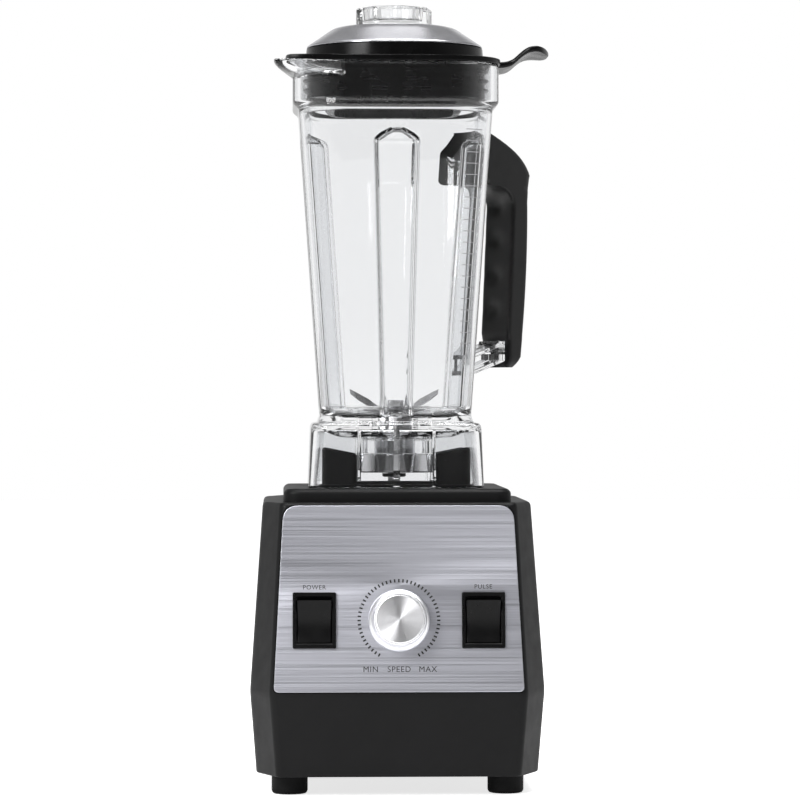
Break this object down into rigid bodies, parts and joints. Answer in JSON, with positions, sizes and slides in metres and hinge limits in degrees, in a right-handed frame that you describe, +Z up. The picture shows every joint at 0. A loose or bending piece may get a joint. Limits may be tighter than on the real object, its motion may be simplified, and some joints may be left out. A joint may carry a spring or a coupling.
{
  "type": "countertop blender",
  "caption": "Countertop blender: motor base with rocker switches and a speed dial, clear square jar with handle and spout, rubber lid with a turning filler cap.",
  "frame": {"origin": "middle of the footprint, on the surface that the feet stand on", "axes": "+Z up, -Y towards the user, +X to the user's right"},
  "size_m": [0.193, 0.2152, 0.5012],
  "materials": {
    "housing_plastic": "matt, finely textured black",
    "handle_plastic": "satin black",
    "switch_plastic": "semi-gloss black",
    "knob_plastic": "satin black",
    "black_rubber": "matt black",
    "lid_rubber": "smooth satin black",
    "lid_silver": "satin silver coating",
    "clear_jar": "clear moulded copolyester",
    "clear_cap": "clear moulded copolyester",
    "panel_aluminium": "fine brushed, horizontal grain",
    "knob_aluminium": "radially brushed",
    "cast_aluminium": "as cast",
    "stainless_steel": "turned and brushed",
    "blade_steel": "ground and polished",
    "motor_iron": "stacked laminations",
    "copper_wire": "enamelled winding wire and copper",
    "brass": "plain",
    "carbon": "pressed graphite",
    "circuit_board": "green solder resist"
  },
  "bodies": {
    "base": {"base_housing": "housing_plastic", "bottom_cover": "housing_plastic", "foot_front_left": "black_rubber", "foot_screw_front_left": "stainless_steel", "foot_front_right": "black_rubber", "foot_screw_front_right": "stainless_steel", "foot_rear_left": "black_rubber", "foot_screw_rear_left": "stainless_steel", "foot_rear_right": "black_rubber", "foot_screw_rear_right": "stainless_steel", "cord_gland": "black_rubber", "control_board": "circuit_board", "centering_pad": "black_rubber", "control_panel": "panel_aluminium", "power_switch_body": "switch_plastic", "pulse_switch_body": "switch_plastic", "speed_potentiometer": "cast_aluminium", "motor_lower_bracket": "cast_aluminium", "motor_upper_bracket": "cast_aluminium", "stator_core": "motor_iron", "field_winding_front": "copper_wire", "field_winding_rear": "copper_wire", "motor_bearing_lower": "stainless_steel", "motor_bearing_upper": "stainless_steel", "brush_holder_left": "brass", "brush_holder_right": "brass", "carbon_brush_left": "carbon", "carbon_brush_right": "carbon"},
    "motor_rotor": {"motor_shaft": "stainless_steel", "armature": "motor_iron", "commutator": "copper_wire", "cooling_fan": "switch_plastic", "drive_coupler": "stainless_steel"},
    "power_rocker": {"power_rocker": "switch_plastic"},
    "pulse_rocker": {"pulse_rocker": "switch_plastic"},
    "speed_dial": {"speed_knob": "knob_plastic", "knob_face": "knob_aluminium", "pot_shaft": "cast_aluminium"},
    "jar": {"jar_body": "clear_jar", "handle": "handle_plastic", "handle_screw": "stainless_steel", "bearing_housing": "stainless_steel", "retaining_nut": "stainless_steel", "floor_gasket": "black_rubber", "blade_bearing_lower": "stainless_steel", "blade_bearing_upper": "stainless_steel", "blade_seal": "black_rubber"},
    "blade_assembly": {"blade_shaft": "stainless_steel", "drive_hub": "switch_plastic", "blade_washer": "stainless_steel", "blade_lower": "blade_steel", "blade_middle": "blade_steel", "blade_upper": "blade_steel", "blade_nut": "stainless_steel"},
    "lid": {"lid_base": "lid_rubber", "lid_cover": "lid_silver"},
    "cap_seal": {"cap_seal": "lid_rubber"},
    "filler_cap": {"filler_cap": "clear_cap"}
  },
  "joints": [
    {"name": "motor_spin", "type": "hinge", "parent": "base", "child": "motor_rotor", "pos_m": [-0.0035, 0.00472, 0.11], "axis": [0, 0, 1], "continuous": true},
    {"name": "jar_lift", "type": "slide", "parent": "base", "child": "jar", "axis": [0, 0, 1], "range_m": [0, 0.08]},
    {"name": "blade_spin", "type": "hinge", "parent": "jar", "child": "blade_assembly", "pos_m": [-0.0035, 0.00472, 0.24], "axis": [0, 0, 1], "continuous": true},
    {"name": "lid_lift", "type": "slide", "parent": "jar", "child": "lid", "axis": [0, 0, 1], "range_m": [0, 0.06]},
    {"name": "cap_turn", "type": "hinge", "parent": "lid", "child": "cap_seal", "pos_m": [-0.0035, 0.00472, 0.471], "axis": [0, 0, 1], "range_deg": [0, 45]},
    {"name": "cap_lift", "type": "slide", "parent": "cap_seal", "child": "filler_cap", "axis": [0, 0, 1], "range_m": [0, 0.06]},
    {"name": "power_rock", "type": "hinge", "parent": "base", "child": "power_rocker", "pos_m": [-0.05622, -0.08791, 0.10967], "axis": [-1, 0, 0], "range_deg": [0, 20]},
    {"name": "pulse_rock", "type": "hinge", "parent": "base", "child": "pulse_rocker", "pos_m": [0.04922, -0.08791, 0.10967], "axis": [-1, 0, 0], "range_deg": [0, 20], "stiffness_Nm_per_rad": 0.06},
    {"name": "speed_turn", "type": "hinge", "parent": "base", "child": "speed_dial", "pos_m": [-0.0035, -0.0889, 0.10978], "axis": [0, -0.9931, 0.117], "range_deg": [0, 312]}
  ],
  "couplings": [
    {"joint": "blade_spin", "follows": "motor_spin", "ratio": 1}
  ]
}
